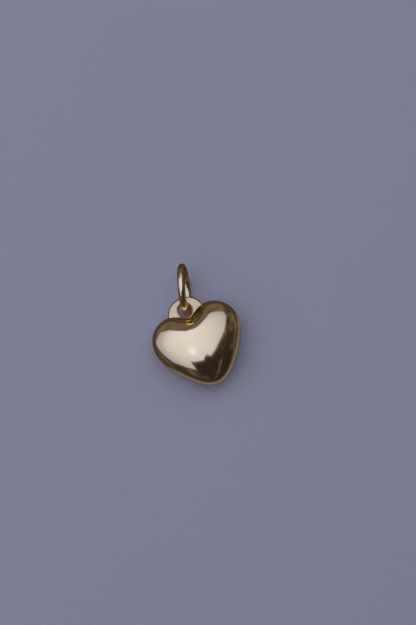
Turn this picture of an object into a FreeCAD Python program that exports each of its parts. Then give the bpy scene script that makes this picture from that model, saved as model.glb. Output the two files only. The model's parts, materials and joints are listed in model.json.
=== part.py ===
import FreeCAD, Part
import math
import os
import Sketcher

# Puffy heart pendant, lying on its back: millimetres, +Z up, +Y from the tip towards the lug.
# The origin is the crown of the back, where the pendant touches what it lies on.

# Driving sizes in millimetres, and angles in degrees. The lifts, pulls and valley values are
# ratios that shape the heart's plan and dome, and have no unit.
DRIVING_SIZES = {
    "heart_width": 10.0,
    "heart_height": 8.86,
    "heart_thickness": 4.2,
    "side_lift": 0.125,
    "side_square": 0.107,
    "side_taper": 0.030,
    "cleft_pull": 0.281,
    "tip_pull": 0.072,
    "lobe_pull": 0.051,
    "valley_depth": 0.75,
    "valley_reach": 2.5,
    "valley_sharpness": 6.0,
    "wall": 0.25,
    "lug_width": 4.3,
    "lug_thickness": 0.5,
    "lug_bar": 0.78,
    "lug_edge_round": 0.16,
    "lug_shift": -0.08,
    "hole_web": 0.11,
    "hole_edge_round": 0.1,
    "ring_play": 0.37,
    "ring_seat": 0.16,
    "ring_offset": 0.14,
    "ring_wire": 0.76,
    "ring_outer_diameter": 5.75,
    "ring_floor_gap": 0.01,
    "ring_turn_deg": 19.7,
    "ring_lean_deg": 7.4,
}

# How finely the dome's surface is laid out: bands from rim to crown, and stations round the heart.
BANDS = 6
STATIONS = 32
OUTLINE_SAMPLES = 720
STEP_ANGLE = 1e-4
CIRCLE_MATCH = 1e-6

# Sizes that follow from the driving ones, as formulas of the same sheet.
DERIVED_SIZES = {
    "hole_radius": "=ring_wire / 2 + ring_play",
    "hole_y": "=cleft_y + hole_web + hole_edge_round + hole_radius",
    "lug_centre_y": "=hole_y + hole_radius + lug_bar - lug_width / 2",
}


def fill_sheet(sheet, values, first_row):
    """One row for each size: its name in column A and its value, with the name as alias, in B."""
    for row, (name, value) in enumerate(values.items(), start=first_row):
        sheet.set(f"A{row}", name)
        sheet.set(f"B{row}", str(value))
        sheet.setAlias(f"B{row}", name)


def plan_factors(radius, turn):
    """A disc point drawn into a heart by harmonics two to four: side to side, and cleft to tip."""
    across = radius * math.sin(turn)
    across -= sizes.side_lift * radius**2 * math.sin(2 * turn)
    across -= sizes.side_square * radius**3 * math.sin(3 * turn)
    across -= sizes.side_taper * radius**4 * math.sin(4 * turn)
    along = radius * math.cos(turn)
    along -= sizes.cleft_pull * radius**2 * math.cos(2 * turn)
    along -= sizes.tip_pull * radius**3 * math.cos(3 * turn)
    along -= sizes.lobe_pull * radius**4 * math.cos(4 * turn)
    return across, along


def plan_scales():
    """Millimetres for one unit of the plan, so that the outline has the width and height set."""
    turns = [2 * math.pi * i / OUTLINE_SAMPLES for i in range(OUTLINE_SAMPLES)]
    outline = [plan_factors(1.0, turn) for turn in turns]
    half_width = max(across for across, along in outline)
    top = max(along for across, along in outline)
    tip = min(along for across, along in outline)
    return sizes.heart_width / 2 / half_width, sizes.heart_height / (top - tip)


def dome_point(latitude, turn):
    """A point of the front's outside: latitude 0 is the rim and a right angle is the crown.

    The height is an ellipse's over the plan, less a valley that runs in from the cleft.
    """
    radius = math.cos(latitude)
    across, along = plan_factors(radius, turn)
    facing_cleft = ((1 + math.cos(turn)) / 2) ** sizes.valley_sharpness
    puff = 1 - sizes.valley_depth * radius**sizes.valley_reach * facing_cleft
    height = sizes.heart_thickness / 2 * math.sin(latitude) * puff
    return FreeCAD.Vector(across * scale_across, along * scale_along, height)


def dome_normal(latitude, turn):
    """The outward direction of the front's outside, from its two slopes."""
    if latitude > math.pi / 2 - STEP_ANGLE:
        return FreeCAD.Vector(0, 0, 1)
    rise = dome_point(latitude + STEP_ANGLE, turn) - dome_point(latitude - STEP_ANGLE, turn)
    sweep = dome_point(latitude, turn + STEP_ANGLE) - dome_point(latitude, turn - STEP_ANGLE)
    normal = rise.cross(sweep)
    return normal.normalize()


def skin_point(latitude, turn, depth):
    """The point that lies the given depth of metal under the outside."""
    return dome_point(latitude, turn) - dome_normal(latitude, turn) * depth


def skin_slope(latitude, turn, depth):
    """How fast the skin runs from rim to crown, taken on one side at the crown itself."""
    low = max(latitude - STEP_ANGLE, -STEP_ANGLE)
    high = min(latitude + STEP_ANGLE, math.pi / 2)
    return (skin_point(high, turn, depth) - skin_point(low, turn, depth)) * (1 / (high - low))


def skin_face(depth):
    """A smooth spline surface through the skin: meridians first, then rings through their poles."""
    latitudes = [math.pi / 2 * i / BANDS for i in range(BANDS + 1)]
    turns = [2 * math.pi * i / STATIONS for i in range(STATIONS + 1)]
    meridians = []
    for turn in turns[:-1]:
        meridian = Part.BSplineCurve()
        at_rim = skin_slope(0.0, turn, depth)
        at_crown = skin_slope(math.pi / 2, turn, depth)
        meridian.interpolate(
            Points=[skin_point(latitude, turn, depth) for latitude in latitudes],
            Parameters=latitudes,
            InitialTangent=FreeCAD.Vector(0, 0, at_rim.z),
            FinalTangent=FreeCAD.Vector(at_crown.x, at_crown.y, 0),
            Scale=False,
        )
        meridians.append(meridian)
    rings = []
    for row in range(1, meridians[0].NbPoles):
        ring = Part.BSplineCurve()
        ring.interpolate(
            Points=[meridian.getPole(row) for meridian in meridians],
            PeriodicFlag=True,
            Parameters=turns,
        )
        rings.append(ring)
    crown = skin_point(math.pi / 2, 0.0, depth)
    poles = [ring.getPoles() for ring in rings]
    poles.append([crown] * len(poles[0]))
    surface = Part.BSplineSurface()
    surface.buildFromPolesMultsKnots(
        poles,
        meridians[0].getMultiplicities(),
        rings[0].getMultiplicities(),
        meridians[0].getKnots(),
        rings[0].getKnots(),
        False,
        True,
        3,
        rings[0].Degree,
    )
    return surface.toShape()


def half_heart(depth):
    """The solid under the skin, closed by a flat face at the seam."""
    dome = skin_face(depth)
    rim = min(dome.Edges, key=lambda edge: edge.BoundBox.ZMax)
    floor = Part.Face(Part.Wire(rim))
    shell = Part.makeShell([dome, floor])
    shell.sewShape()
    return Part.Solid(shell)


doc = FreeCAD.newDocument("puffy_heart_pendant")
sizes = doc.addObject("Spreadsheet::Sheet", "sizes")
fill_sheet(sizes, DRIVING_SIZES, 1)
doc.recompute()
scale_across, scale_along = plan_scales()
cleft_y = plan_factors(1.0, 0.0)[1] * scale_along
fill_sheet(sizes, {"cleft_y": cleft_y, **DERIVED_SIZES}, len(DRIVING_SIZES) + 1)
doc.recompute()
seam = "sizes.heart_thickness / 2"


def make_shell(name, turned_over):
    """One stamped half: the outside's solid less the solid one wall further in."""
    half = half_heart(0).cut(half_heart(sizes.wall))
    if turned_over:
        half = half.mirror(FreeCAD.Vector(0, 0, 0), FreeCAD.Vector(0, 0, 1))
    shell = doc.addObject("Part::Feature", name)
    shell.Shape = half
    shell.setExpression("Placement.Base.z", seam)
    return shell


def make_outside():
    """The whole heart with no hollow, which the lug's plate is trimmed against."""
    front = half_heart(0)
    back = front.mirror(FreeCAD.Vector(0, 0, 0), FreeCAD.Vector(0, 0, 1))
    outside = doc.addObject("Part::Feature", "heart_outside")
    outside.Shape = front.fuse(back)
    outside.setExpression("Placement.Base.z", seam)
    return outside


def origin_plane(body, role):
    """One of the body's own origin planes."""
    return next(item for item in body.Origin.OriginFeatures if item.Role == role)


def circle_edges(shape, radius):
    """The names of the whole circles with this radius, on both faces of a plate."""
    return [
        f"Edge{number}"
        for number, edge in enumerate(shape.Edges, start=1)
        if edge.Curve.TypeId == "Part::GeomCircle"
        and edge.isClosed()
        and abs(edge.Curve.Radius - radius) < CIRCLE_MATCH
    ]


def make_lug_disc():
    """The round plate with its hole, both edges of each rounded over, a little off the middle line."""
    body = doc.addObject("PartDesign::Body", "lug_disc")
    sketch = body.newObject("Sketcher::SketchObject", "lug_outline")
    sketch.AttachmentSupport = (origin_plane(body, "XY_Plane"), "")
    sketch.MapMode = "FlatFace"
    up = FreeCAD.Vector(0, 0, 1)
    for centre, radius in (("lug_centre_y", "lug_width / 2"), ("hole_y", "hole_radius")):
        circle = sketch.addGeometry(Part.Circle(FreeCAD.Vector(0, 1, 0), up, 1), False)
        sketch.addConstraint(Sketcher.Constraint("PointOnObject", circle, 3, -2))
        across = sketch.addConstraint(Sketcher.Constraint("Radius", circle, 1.0))
        sketch.setExpression(f"Constraints[{across}]", f"sizes.{radius}")
        along = sketch.addConstraint(Sketcher.Constraint("DistanceY", -1, 1, circle, 3, 1.0))
        sketch.setExpression(f"Constraints[{along}]", f"sizes.{centre}")
    pad = body.newObject("PartDesign::Pad", "lug_pad")
    pad.Profile = sketch
    pad.Midplane = True
    pad.setExpression("Length", "sizes.lug_thickness")
    doc.recompute()
    outer_round = body.newObject("PartDesign::Fillet", "lug_outer_round")
    outer_round.Base = (pad, circle_edges(pad.Shape, sizes.lug_width / 2))
    outer_round.setExpression("Radius", "sizes.lug_edge_round")
    doc.recompute()
    hole_round = body.newObject("PartDesign::Fillet", "hole_round")
    hole_round.Base = (outer_round, circle_edges(outer_round.Shape, sizes.hole_radius))
    hole_round.setExpression("Radius", "sizes.hole_edge_round")
    body.setExpression("Placement.Base.x", "sizes.lug_shift")
    body.setExpression("Placement.Base.z", seam)
    return body


def make_lug(outside):
    """The plate trimmed flush to the heart's outside, where it is soldered on at the seam."""
    lug = doc.addObject("Part::Cut", "lug_plate")
    lug.Base = make_lug_disc()
    lug.Tool = outside
    return lug


def make_ring():
    """The round wire ring: threaded through the middle of the hole, standing on its lowest point."""
    ring = doc.addObject("Part::Torus", "jump_ring")
    ring.setExpression("Radius1", "(sizes.ring_outer_diameter - sizes.ring_wire) / 2")
    ring.setExpression("Radius2", "sizes.ring_wire / 2")
    bend = (sizes.ring_outer_diameter - sizes.ring_wire) / 2
    turn = math.radians(sizes.ring_turn_deg)
    lean = math.radians(sizes.ring_lean_deg)
    away = FreeCAD.Vector(math.sin(turn), math.cos(turn), 0)
    side = FreeCAD.Vector(math.cos(turn), -math.sin(turn), 0)
    rise = FreeCAD.Vector(0, 0, 1) * math.cos(lean) - side * math.sin(lean)
    centre_z = bend * math.cos(lean) + sizes.ring_wire / 2 + sizes.ring_floor_gap
    threaded_x = sizes.lug_shift + sizes.ring_offset
    threaded = FreeCAD.Vector(threaded_x, sizes.hole_y - sizes.ring_seat, sizes.heart_thickness / 2)
    climb = math.asin((centre_z - threaded.z) / (bend * math.cos(lean)))
    centre = threaded + away * (bend * math.cos(climb)) + rise * (bend * math.sin(climb))
    ring.Placement = FreeCAD.Placement(centre, FreeCAD.Rotation(away, rise, away.cross(rise)))
    print("ring threaded through", [round(v, 4) for v in threaded])
    print("ring axis", [round(v, 5) for v in away.cross(rise)])
    return ring


outside = make_outside()
pieces = [
    make_shell("heart_front_shell", False),
    make_shell("heart_back_shell", True),
    make_lug(outside),
    make_ring(),
]
doc.recompute()

for item in doc.Objects:
    faults = {"Invalid", "Error"} & set(item.State)
    if faults:
        raise RuntimeError(f"{item.Label} failed: {sorted(faults)}")
for piece in pieces:
    if piece.Shape.isNull() or not piece.Shape.isValid():
        raise RuntimeError(f"{piece.Label} has no valid shape")

os.makedirs("parts", exist_ok=True)
for piece in pieces:
    piece.Shape.exportStep(f"parts/{piece.Label}.step")
    box = piece.Shape.BoundBox
    low = [round(v, 3) for v in (box.XMin, box.YMin, box.ZMin)]
    high = [round(v, 3) for v in (box.XMax, box.YMax, box.ZMax)]
    print(piece.Label, "solids", len(piece.Shape.Solids), "volume", round(piece.Shape.Volume, 3))
    print(piece.Label, "box", low, high)
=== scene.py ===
import json
import math

import bpy
import numpy as np
from mathutils import Matrix, Vector


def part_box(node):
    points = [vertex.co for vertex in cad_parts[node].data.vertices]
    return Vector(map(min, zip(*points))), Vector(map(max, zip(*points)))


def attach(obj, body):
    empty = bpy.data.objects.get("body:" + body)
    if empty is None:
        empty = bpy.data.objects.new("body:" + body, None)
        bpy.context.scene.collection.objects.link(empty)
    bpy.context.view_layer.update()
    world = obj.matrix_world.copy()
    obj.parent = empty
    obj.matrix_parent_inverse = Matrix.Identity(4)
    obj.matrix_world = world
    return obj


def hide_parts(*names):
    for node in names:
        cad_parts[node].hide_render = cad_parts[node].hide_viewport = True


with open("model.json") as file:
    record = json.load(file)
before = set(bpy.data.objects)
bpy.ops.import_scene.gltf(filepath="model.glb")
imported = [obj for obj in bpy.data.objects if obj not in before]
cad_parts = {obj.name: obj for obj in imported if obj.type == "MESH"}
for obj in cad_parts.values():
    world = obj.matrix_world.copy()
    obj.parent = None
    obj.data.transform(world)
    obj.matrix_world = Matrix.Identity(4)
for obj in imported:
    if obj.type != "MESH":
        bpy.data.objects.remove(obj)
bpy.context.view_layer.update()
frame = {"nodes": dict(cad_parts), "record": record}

# Heart shells: the front and back are two halves stamped from thin yellow gold sheet.
# They are soldered edge to edge round the middle, and the outside is buffed to a mirror.
# That leaves a hairline at the joint and a slight waviness. Down in the cleft the gold's colour is painted
# darker, as painted shade.
MM = 0.001
shell_wall = 0.25 * MM
side_pulls = (0.125, 0.107, 0.030)
length_pulls = (0.281, 0.072, 0.051)
valley_depth = 0.75
valley_reach = 2.5
valley_sharpness = 6.0
hairline_depth = 0.012 * MM
hairline_width = 0.03 * MM
shell_rows = 110
shell_row_crowding = 1.35
shell_points = 300
inner_rows = 40
outline_samples = 4000
slope_step = 1e-4
sharp_edge = math.radians(40)

gold_colours = ("#F5D9A0", "#EFCF92")
gold_edge_tint = "#E2C288"
tone_patch = 3.0 * MM
smudge_size = 1.6 * MM
smudge_starts, smudge_full = 0.35, 0.7
scratch_length = 1.5 * MM
scratch_slimness = 30
scratch_ways = (25, -48)
scratch_starts, scratch_full = 0.62, 0.74
scratch_roughness = 0.05
# Painted shade: a dark colour blended into the gold round a spot down in the cleft, where the lobes' walls
# look dark.
cleft_shade_colour = "#463B33"
cleft_shade_middle = (0.95 * MM, 3.0 * MM, 2.9 * MM)
cleft_shade_reach = 1.3 * MM
cleft_shade_share = 0.8
sheet_roughness = (0.08, 0.13)
sheet_wave = 1.3 * MM
sheet_wave_height = 0.006 * MM

front_low, front_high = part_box("heart_front_shell")
seam_height = front_low.z
dome_height = front_high.z - front_low.z


def heart_plan(radius, turn):
    """A disc point drawn into a heart.

    Across is r sin t less the side pulls times r^n sin nt, and along is r cos t less the length pulls
    times r^n cos nt, for n = 2, 3 and 4.
    """
    across = radius * np.sin(turn)
    along = radius * np.cos(turn)
    for order, (side, length) in enumerate(zip(side_pulls, length_pulls), start=2):
        across = across - side * radius**order * np.sin(order * turn)
        along = along - length * radius**order * np.cos(order * turn)
    return across, along


outline_across, outline_along = heart_plan(1.0, np.linspace(0, 2 * math.pi, outline_samples))
across_scale = (front_high.x - front_low.x) / np.ptp(outline_across)
along_scale = (front_high.y - front_low.y) / np.ptp(outline_along)


def valley(radius, turn):
    """The share of the height that the valley takes.

    It is the depth times r^reach times ((1 + cos t) / 2)^sharpness.
    """
    return valley_depth * radius**valley_reach * ((1 + np.cos(turn)) / 2) ** valley_sharpness


def dome(latitude, turn):
    """The outside above the seam: the plan at r = cos latitude, as high as the sine of the latitude.

    The valley takes its share off that height.
    """
    radius = np.cos(latitude)
    across, along = heart_plan(radius, turn)
    height = dome_height * np.sin(latitude) * (1 - valley(radius, turn))
    return np.stack([across * across_scale, along * along_scale, height], axis=-1)


def dome_outward(latitude, turn):
    """The unit normal of the dome, as the cross product of its two slopes."""
    rise = dome(latitude + slope_step, turn) - dome(latitude - slope_step, turn)
    sweep = dome(latitude, turn + slope_step) - dome(latitude, turn - slope_step)
    normal = np.cross(rise, sweep)
    return normal / np.linalg.norm(normal, axis=-1, keepdims=True)


def shell_half():
    """Loops of one half from the outer crown down to the rim, and inside the wall up to the crown again.

    The hairline sinks the outside by its depth times exp of less the square of height over its width.
    """
    turn = np.linspace(0, 2 * math.pi, shell_points, endpoint=False)
    share = np.linspace(0, 1, shell_rows + 1)[:-1, None]
    outer_latitude = math.pi / 2 * share**shell_row_crowding
    outer = dome(outer_latitude, turn)
    hairline = hairline_depth * np.exp(-((outer[..., 2:] / hairline_width) ** 2))
    outer = outer - hairline * dome_outward(outer_latitude, turn)
    inner_latitude = math.pi / 2 * np.linspace(0, 1, inner_rows + 1)[:-1, None]
    inner = dome(inner_latitude, turn) - shell_wall * dome_outward(inner_latitude, turn)
    inner[0, :, 2] = 0
    crown = np.array([0, 0, dome_height])
    return np.concatenate([outer[::-1], inner]), crown, crown - [0, 0, shell_wall]


def closed_skin(name, loops, first_pole=None, last_pole=None):
    """Joins neighbouring loops of points with quads.

    Two poles close the ends. Without them the last loop meets the first.
    """
    rows, around = loops.shape[:2]
    index = np.arange(rows * around).reshape(rows, around)
    points = loops.reshape(-1, 3)
    lower, upper = index, np.roll(index, -1, axis=0)
    fans = []
    if first_pole is not None:
        lower, upper = index[:-1], index[1:]
        points = np.concatenate([points, [first_pole, last_pole]])
        first, last = np.full(around, rows * around), np.full(around, rows * around + 1)
        fans += np.stack([first, np.roll(index[0], -1), index[0]], axis=-1).tolist()
        fans += np.stack([last, index[-1], np.roll(index[-1], -1)], axis=-1).tolist()
    quads = np.stack([lower, np.roll(lower, -1, axis=1), np.roll(upper, -1, axis=1), upper], axis=-1)
    mesh = bpy.data.meshes.new(name)
    mesh.from_pydata(points.tolist(), [], quads.reshape(-1, 4).tolist() + fans)
    mesh.shade_smooth()
    mesh.set_sharp_from_angle(angle=sharp_edge)
    piece = bpy.data.objects.new(name, mesh)
    bpy.context.scene.collection.objects.link(piece)
    return piece


def linear(hex_colour):
    """An sRGB hex colour as the linear red, green, blue and alpha that a socket takes."""
    parts = np.array([int(hex_colour[i : i + 2], 16) for i in (1, 3, 5)]) / 255
    curve = np.where(parts <= 0.04045, parts / 12.92, ((parts + 0.055) / 1.055) ** 2.4)
    return (*curve.tolist(), 1.0)


def add(tree, kind, settings=None, **inputs):
    """Adds a node, sets its properties, and gives each named input a value or a link from a socket."""
    node = tree.nodes.new(kind)
    for key, value in (settings or {}).items():
        setattr(node, key, value)
    for key, value in inputs.items():
        socket = node.inputs[int(key[1:])] if key[1:].isdigit() else node.inputs[key.replace("_", " ")]
        if isinstance(value, bpy.types.NodeSocket):
            tree.links.new(value, socket)
        else:
            socket.default_value = value
    return node


def near(tree, spot, reach, middle, edge):
    """A value that eases from middle at the spot to edge at the reach and beyond."""
    place = add(tree, "ShaderNodeTexCoord").outputs["Object"]
    away = add(tree, "ShaderNodeVectorMath", {"operation": "DISTANCE"}, i0=place, i1=spot[:])
    eased = add(
        tree,
        "ShaderNodeMapRange",
        {"interpolation_type": "SMOOTHSTEP"},
        Value=away.outputs["Value"],
        From_Max=reach,
        To_Min=middle,
        To_Max=edge,
    )
    return eased.outputs[0]


def polished_gold(name, colours, roughness, wave, wave_height, cleft_shade=0.0):
    """14 carat yellow gold, buffed: a mirror with faint smudges, hairline scratches and a slow waviness.

    The last argument is the share of painted shade, a dark colour blended in round a spot down in the cleft,
    strongest at its middle. The scratches are drawn coarser than real ones, which would be too fine to show.
    """
    material = bpy.data.materials.new(name)
    material.use_nodes = True
    tree = material.node_tree
    tree.nodes.clear()
    place = add(tree, "ShaderNodeTexCoord").outputs["Object"]
    tone = add(tree, "ShaderNodeTexNoise", Vector=place, Scale=1 / tone_patch, Detail=2.0)
    gold = add(
        tree,
        "ShaderNodeMix",
        {"data_type": "RGBA"},
        i0=tone.outputs["Fac"],
        i6=linear(colours[0]),
        i7=linear(colours[1]),
    )
    # Painted shade: the dark colour takes over from the gold round the cleft's middle.
    cleft_shaded = add(
        tree,
        "ShaderNodeMix",
        {"data_type": "RGBA"},
        i0=near(tree, cleft_shade_middle, cleft_shade_reach, cleft_shade, 0.0),
        i6=gold.outputs[2],
        i7=linear(cleft_shade_colour),
    )
    scratches = []
    for way in scratch_ways:
        stretched = add(
            tree,
            "ShaderNodeMapping",
            Vector=place,
            Rotation=(0, 0, math.radians(way)),
            Scale=(1, scratch_slimness, 1),
        )
        streak = add(
            tree,
            "ShaderNodeTexNoise",
            Vector=stretched.outputs[0],
            Scale=1 / scratch_length,
            Detail=2.0,
        )
        scratch = add(
            tree,
            "ShaderNodeMapRange",
            Value=streak.outputs["Fac"],
            From_Min=scratch_starts,
            From_Max=scratch_full,
        )
        scratches.append(scratch.outputs[0])
    scratched = add(tree, "ShaderNodeMath", {"operation": "MAXIMUM"}, i0=scratches[0], i1=scratches[1])
    smudge = add(tree, "ShaderNodeTexNoise", Vector=place, Scale=1 / smudge_size, Detail=4.0, Roughness=0.6)
    wiped = add(
        tree,
        "ShaderNodeMapRange",
        Value=smudge.outputs["Fac"],
        From_Min=smudge_starts,
        From_Max=smudge_full,
        To_Min=roughness[0],
        To_Max=roughness[1],
    )
    rough = add(
        tree,
        "ShaderNodeMath",
        {"operation": "MULTIPLY_ADD"},
        i0=scratched.outputs[0],
        i1=scratch_roughness,
        i2=wiped.outputs[0],
    )
    buffing = add(tree, "ShaderNodeTexNoise", Vector=place, Scale=1 / wave, Detail=1.0)
    relief = add(tree, "ShaderNodeBump", Strength=1.0, Distance=wave_height, Height=buffing.outputs["Fac"])
    shader = add(
        tree,
        "ShaderNodeBsdfPrincipled",
        Base_Color=cleft_shaded.outputs[2],
        Metallic=1.0,
        Specular_Tint=linear(gold_edge_tint),
        Roughness=rough.outputs[0],
        Normal=relief.outputs[0],
    )
    add(tree, "ShaderNodeOutputMaterial", Surface=shader.outputs[0])
    return material


gold_sheet = polished_gold(
    "buffed_gold_sheet",
    gold_colours,
    sheet_roughness,
    sheet_wave,
    sheet_wave_height,
    cleft_shade_share,
)
half_loops, outer_crown, inner_crown = shell_half()
lift = np.array([0, 0, seam_height])
upside_down = np.array([1, 1, -1])
heart_front = closed_skin("heart_front", half_loops + lift, outer_crown + lift, inner_crown + lift)
heart_back = closed_skin(
    "heart_back",
    (half_loops * upside_down + lift)[:, ::-1],
    outer_crown * upside_down + lift,
    inner_crown * upside_down + lift,
)
for shell, node_name in ((heart_front, "heart_front_shell"), (heart_back, "heart_back_shell")):
    shell.data.materials.append(gold_sheet)
    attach(shell, "heart")
    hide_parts(node_name)

# Lug: a round plate of the same gold with one hole, cut to the cleft and soldered on at the seam.
# Its faces are polished flat and a little less brightly than the heart, and its colours are the heart's gold
# painted darker, as painted shade.
# Its rim and the hole's lip are rounded over by the buffing.
lug_width = 4.3 * MM
lug_middle = -0.08 * MM
lug_hole_to_edge = 0.78 * MM
lug_round_across = 0.25 * MM
lug_round_down = 0.24 * MM
hole_radius = 0.75 * MM
hole_lip_across = 0.2 * MM
hole_lip_down = 0.2 * MM
lip_margin = 0.01 * MM
lug_points = 480
face_loops = 14
round_loops = 8
notch_samples = 1200
notch_reach = 1.35
height_passes = 30
# Painted shade: the plate's gold is painted darker than the heart's, though it is the same gold.
shaded_plate_colours = ("#DABF8B", "#CFB17C")
plate_roughness = (0.12, 0.2)
plate_wave = 1.0 * MM
plate_wave_height = 0.003 * MM

lug_low, lug_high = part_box("lug_plate")
lug_half = (lug_high.z - lug_low.z) / 2
hole_y = lug_high.y - lug_hole_to_edge - hole_radius
disc_radius = lug_width / 2
disc_offset = hole_y - (lug_high.y - disc_radius)
lug_bearing = np.linspace(-math.pi, math.pi, lug_points, endpoint=False)


def skin_reach(height):
    """How far the heart's skin at this height above the seam is from the hole's centre, for each bearing.

    The latitude there is the arcsine of the height over the dome's height less the valley's share. The
    valley depends on the latitude in turn, so it is worked out again and again until it settles. A ray
    that grazes a lobe meets its skin twice and may take the far side. The plate then runs on inside the
    hollow heart, out of sight.
    """
    turn = np.linspace(-notch_reach, notch_reach, notch_samples)
    latitude = np.zeros(notch_samples)
    for _ in range(height_passes):
        latitude = np.arcsin(height / (dome_height * (1 - valley(np.cos(latitude), turn))))
    skin = dome(latitude, turn)
    sideways = skin[:, 0] - lug_middle
    downward = hole_y - skin[:, 1]
    skin_bearing = np.arctan2(sideways, downward)
    return np.interp(lug_bearing, skin_bearing, np.hypot(sideways, downward), left=np.inf, right=np.inf)


def rim_reach(radius, height):
    """The ray from the hole's centre to a circle about the disc's centre, or to the heart's skin if nearer.

    The ray is the root of radius^2 less (offset sin b)^2, plus offset cos b.
    """
    to_circle = np.sqrt(radius**2 - (disc_offset * np.sin(lug_bearing)) ** 2)
    return np.minimum(to_circle + disc_offset * np.cos(lug_bearing), skin_reach(height))


def lug_loops():
    """Loops round the hole: its lip, the front face, the rounded rim, and the same back on the other side.

    Lip and rim are quarter ellipses. Each loop is turned round at the end, so that its faces point outwards.
    """
    front = []
    quarter = np.linspace(0, math.pi / 2, round_loops)
    face_end = rim_reach(disc_radius - lug_round_across, lug_half)
    lip = np.minimum(hole_lip_across, face_end - hole_radius - lip_margin)
    for angle in quarter[:-1]:
        reach = hole_radius + lip * (1 - math.cos(angle))
        front.append((reach, lug_half - hole_lip_down * (1 - math.sin(angle))))
    for share in (1 - np.cos(np.linspace(0, math.pi, face_loops))) / 2:
        front.append((hole_radius + lip + share * (face_end - hole_radius - lip), lug_half))
    for angle in quarter[1:]:
        height = lug_half - lug_round_down * (1 - math.cos(angle))
        front.append((rim_reach(disc_radius - lug_round_across * (1 - math.sin(angle)), height), height))
    section = front + [(reach, -height) for reach, height in reversed(front)]
    loops = []
    for reach, height in section:
        across = lug_middle + reach * np.sin(lug_bearing)
        along = hole_y - reach * np.cos(lug_bearing)
        loops.append(np.stack([across, along, np.full(lug_points, height + seam_height)], axis=-1))
    return np.stack(loops)[:, ::-1]


lug = closed_skin("lug", lug_loops())
lug.data.materials.append(
    polished_gold("buffed_gold_plate", shaded_plate_colours, plate_roughness, plate_wave, plate_wave_height)
)
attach(lug, "heart")
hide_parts("lug_plate")

# Jump ring: drawn round gold wire, bent to a circle through the lug's hole and closed.
# It carries the chain, swings in the hole, and here stands leaning on the table.
# The trim keeps its round outline inside the solid's flats.
ring_around = 260
wire_around = 48
wire_trim = 0.007 * MM
wire_roughness = (0.09, 0.15)
wire_wave = 1.5 * MM
wire_wave_height = 0.003 * MM

chain_eye = next(mount for mount in frame["record"]["mounts"] if mount["name"] == "chain_eye")
ring_centre = np.array(chain_eye["pos_m"])
ring_axis = np.array(chain_eye["axis"]) / np.linalg.norm(chain_eye["axis"])
ring_node = frame["nodes"]["jump_ring"].data
ring_points = np.empty(len(ring_node.vertices) * 3)
ring_node.vertices.foreach_get("co", ring_points)
from_centre = np.linalg.norm(ring_points.reshape(-1, 3) - ring_centre, axis=1)
wire_radius = np.ptp(from_centre) / 2 - wire_trim
bend_radius = (from_centre.max() + from_centre.min()) / 2


def ring_loops():
    """A circle of wire sections: centre + (bend + wire cos p) outward + wire sin p along the axis."""
    outward = np.cross(ring_axis, [0, 0, 1])
    outward /= np.linalg.norm(outward)
    sideways = np.cross(ring_axis, outward)
    way = np.linspace(0, 2 * math.pi, ring_around, endpoint=False)[None, :, None]
    section = np.linspace(0, 2 * math.pi, wire_around, endpoint=False)[:, None, None]
    spoke = (bend_radius + wire_radius * np.cos(section)) * (np.cos(way) * outward + np.sin(way) * sideways)
    return ring_centre + spoke + wire_radius * np.sin(section) * ring_axis


ring = closed_skin("ring", ring_loops())
ring.data.materials.append(
    polished_gold("drawn_gold_wire", gold_colours, wire_roughness, wire_wave, wire_wave_height)
)
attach(ring, "ring")
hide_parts("jump_ring")

# Table top: a plain pale linen-coloured surface that the pendant lies on.
# It is matt, so it gives no highlight, and far larger than the pendant, so that it fills the picture.
table_width = 3.0
table_colour = "#BDB4A8"
table_roughness = 0.9
table_gloss = 0.2

bpy.ops.mesh.primitive_plane_add(size=table_width)
table = bpy.context.object
table.name = "table"
table_paint = bpy.data.materials.new("matt_table")
table_paint.use_nodes = True
table_shader = table_paint.node_tree.nodes["Principled BSDF"]
table_shader.inputs["Base Color"].default_value = linear(table_colour)
table_shader.inputs["Roughness"].default_value = table_roughness
table_shader.inputs["Specular IOR Level"].default_value = table_gloss
table.data.materials.append(table_paint)

# Camera: looks down from the tip's side, ten degrees off straight down, with the pendant turned.
# The heart's width in the picture gives its distance, and the horizon's rise over the middle of
# the picture its focal length.
picture_width, picture_height = 416, 625
crown_pixel = (198.5, 338.9)
pixels_per_mm = 9.039
horizon_rise_pixels = 3667
camera_tilt = math.radians(80)
camera_turn = math.radians(23.9)
sensor_width = 36
nearest_seen = 5 * MM

focal_pixels = horizon_rise_pixels / math.tan(camera_tilt)
distance = focal_pixels / pixels_per_mm * MM
right = Vector((math.cos(camera_turn), -math.sin(camera_turn), 0))
forward = Vector((math.sin(camera_turn), math.cos(camera_turn), 0))
crown = Vector((0, 0, seam_height))
eye = crown + distance * (Vector((0, 0, math.sin(camera_tilt))) - math.cos(camera_tilt) * forward)
aim_right = (picture_width / 2 - crown_pixel[0]) / pixels_per_mm * MM
aim_forward = (crown_pixel[1] - picture_height / 2) / pixels_per_mm * MM / math.sin(camera_tilt)
look = (crown + aim_right * right + aim_forward * forward - eye).normalized()
camera_right = (right - right.dot(look) * look).normalized()
camera_axes = Matrix((camera_right, camera_right.cross(look), -look)).transposed().to_4x4()
camera = bpy.data.objects.new("camera", bpy.data.cameras.new("camera"))
bpy.context.scene.collection.objects.link(camera)
camera.matrix_world = Matrix.Translation(eye) @ camera_axes
camera.data.sensor_width = sensor_width
camera.data.lens = focal_pixels * sensor_width / picture_height
camera.data.clip_start = nearest_seen
bpy.context.scene.camera = camera

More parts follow.
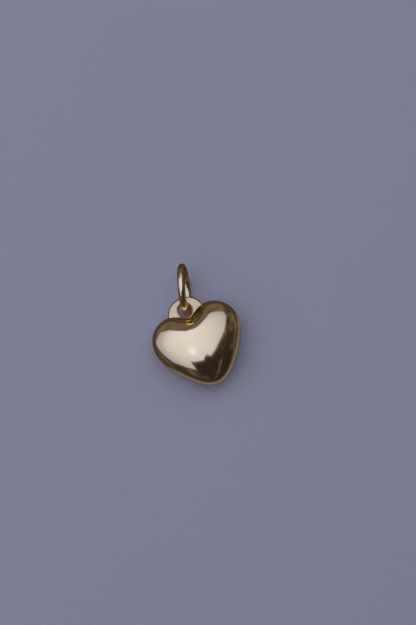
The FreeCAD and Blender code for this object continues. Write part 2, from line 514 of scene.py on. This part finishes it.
# Soft panel: one broad sheet of cool daylight overhead and to the left, where it nears the horizon.
# It is brightest just left of overhead, with one brighter spot. Its outline is given in slopes,
# metres to the right and forward for each metre up, because that is what a mirror shows.
panel_height = 0.4
panel_colour = "#BCC9FF"
panel_middle = (-0.35, 0.27)
panel_level = 1.66
panel_edge_level = 0.9
panel_reach = 1.8
bright_spot = (-0.17, -0.21)
bright_spot_reach = 0.17
bright_spot_level = 0.62
panel_outline = (
    (-8.1, 0.2),
    (-4.2, -0.65),
    (-1.5, -1.5),
    (-0.8, -1.17),
    (-0.27, -0.95),
    (-0.31, -0.57),
    (0.09, -0.39),
    (0.39, -0.2),
    (0.86, 0.38),
    (1.19, 1.37),
    (1.05, 1.8),
    (0.34, 1.75),
    (-0.19, 1.95),
    (-0.2, 0.74),
    (-0.43, 0.64),
    (-1.1, 1.19),
    (-2.6, 1.56),
)


def glowing(name, glow):
    """A mesh and a material of that name, out of the camera's sight.

    The material glows with the colour and level that glow gives for its tree.
    """
    mesh = bpy.data.meshes.new(name)
    material = bpy.data.materials.new(name)
    material.use_nodes = True
    tree = material.node_tree
    tree.nodes.clear()
    colour, level = glow(tree)
    light = add(tree, "ShaderNodeEmission", Color=colour, Strength=level)
    add(tree, "ShaderNodeOutputMaterial", Surface=light.outputs[0])
    mesh.materials.append(material)
    piece = bpy.data.objects.new(name, mesh)
    bpy.context.scene.collection.objects.link(piece)
    piece.visible_camera = False
    return piece


def overhead(height, slopes):
    """The crown plus the height times (straight up + slope to the right + slope forward)."""
    return crown + height * (Vector((0, 0, 1)) + slopes[0] * right + slopes[1] * forward)


def hung(piece, height, outline):
    """Fills the piece's mesh with one flat sheet of this outline at that height, facing down."""
    corners = [overhead(height, slopes)[:] for slopes in outline]
    piece.data.from_pydata(corners, [], [list(range(len(corners)))[::-1]])


def panel_glow(tree):
    """Cool daylight, as the sum of the broad glow and the spot."""
    middle = overhead(panel_height, panel_middle)
    spot = overhead(panel_height, bright_spot)
    broad = near(tree, middle, panel_reach * panel_height, panel_level, panel_edge_level)
    tight = near(tree, spot, bright_spot_reach * panel_height, bright_spot_level, 0.0)
    level = add(tree, "ShaderNodeMath", {"operation": "ADD"}, i0=broad, i1=tight)
    return linear(panel_colour), level.outputs[0]


hung(glowing("soft_panel", panel_glow), panel_height, panel_outline)

# Black card: a dark flag under the panel's near right side, with a torn edge and one slit.
# It gives the polished gold the dark shape that makes it read as a mirror.
card_height = 0.38
card_colours = ("#23282A", "#3A2B30")
card_mottle = 0.12
card_outline = (
    (-0.27, -0.95),
    (-0.31, -0.57),
    (-0.05, -0.5),
    (0.07, -0.41),
    (0.13, -0.27),
    (0.2, -0.24),
    (0.3, -0.26),
    (0.4, -0.16),
    (0.6, -0.18),
    (0.85, -0.22),
    (1.05, -0.08),
    (1.45, 0.12),
    (1.6, -0.12),
    (2.5, -0.23),
    (9.0, -0.8),
    (9.0, -6.0),
    (2.0, -9.0),
    (1.0, -0.95),
    (0.93, -0.4),
    (0.85, -0.33),
    (0.72, -0.4),
    (0.68, -0.95),
    (0.33, -4.1),
    (0.22, -1.4),
    (-0.25, -1.54),
)
mottle_starts, mottle_full = 0.35, 0.65
lighter_pull = 0.2


def mottled(tree, coordinate, size, colours, lighter_way=(0, 0, 0)):
    """Two colours blended by a soft noise of this size, and by how far the place lies the lighter way."""
    place = add(tree, "ShaderNodeTexCoord").outputs[coordinate]
    lying = add(tree, "ShaderNodeVectorMath", {"operation": "DOT_PRODUCT"}, i0=place, i1=lighter_way[:])
    cloud = add(tree, "ShaderNodeTexNoise", Vector=place, Scale=1 / size, Detail=4.0)
    share = add(
        tree,
        "ShaderNodeMath",
        {"operation": "MULTIPLY_ADD"},
        i0=lying.outputs["Value"],
        i1=lighter_pull,
        i2=cloud.outputs["Fac"],
    )
    spread = add(
        tree,
        "ShaderNodeMapRange",
        Value=share.outputs[0],
        From_Min=mottle_starts,
        From_Max=mottle_full,
    )
    blend = add(
        tree,
        "ShaderNodeMix",
        {"data_type": "RGBA"},
        i0=spread.outputs[0],
        i6=linear(colours[0]),
        i7=linear(colours[1]),
    )
    return blend.outputs[2]


def card_glow(tree):
    """The card's own dark, uneven colour at its plain level."""
    return mottled(tree, "Object", card_mottle, card_colours), 1.0


hung(glowing("black_card", card_glow), card_height, card_outline)

# Dark surround: a dark sheet just over the table with a round opening, seen by reflections alone. It paints
# dark reflections into the gold's rim where the lit table would show.
# Through the opening the gold's right and near edges show the table, and elsewhere the painted dark.
surround_height = 0.05 * MM
surround_opening = 18 * MM
surround_opening_away = (11 * MM, -13 * MM)
surround_width = 1.0
surround_corners = 96
# Painted reflection: the dark that the gold's top and left rim shows in place of the lit table.
painted_reflection_colour = "#4E4746"


def surround_glow(tree):
    """One dark colour, which needs no node of its own."""
    return linear(painted_reflection_colour), 1.0


surround = glowing("dark_surround", surround_glow)
corner_turn = np.linspace(0, 2 * math.pi, surround_corners, endpoint=False)
unit_circle = np.stack([np.cos(corner_turn), np.sin(corner_turn), np.zeros(surround_corners)], axis=-1)
opening_middle = surround_opening_away[0] * right + surround_opening_away[1] * forward
inner_edge = unit_circle * surround_opening + [opening_middle.x, opening_middle.y, surround_height]
outer_edge = unit_circle * surround_width + [0, 0, surround_height]
corner = np.arange(surround_corners)
next_corner = np.roll(corner, -1)
surround_faces = np.stack(
    [corner, corner + surround_corners, next_corner + surround_corners, next_corner],
    axis=-1,
)
surround.data.from_pydata(np.concatenate([inner_edge, outer_edge]).tolist(), [], surround_faces.tolist())
surround.visible_diffuse = False
surround.visible_shadow = False

# Room: the dim room round the table, in uneven purplish greys.
# It is lighter to the left and the far side, which the gold's brown rim reflects.
room_colours = ("#373233", "#716A6D")
room_mottle = 0.3
room_light_side = (-0.5, 0.6)

room = bpy.data.worlds.new("room")
bpy.context.scene.world = room
room.use_nodes = True
room_tree = room.node_tree
lighter_way = room_light_side[0] * right + room_light_side[1] * forward
room_light = mottled(room_tree, "Generated", room_mottle, room_colours, lighter_way)
room_tree.links.new(room_light, room_tree.nodes["Background"].inputs["Color"])
bpy.context.scene.view_settings.view_transform = "Standard"
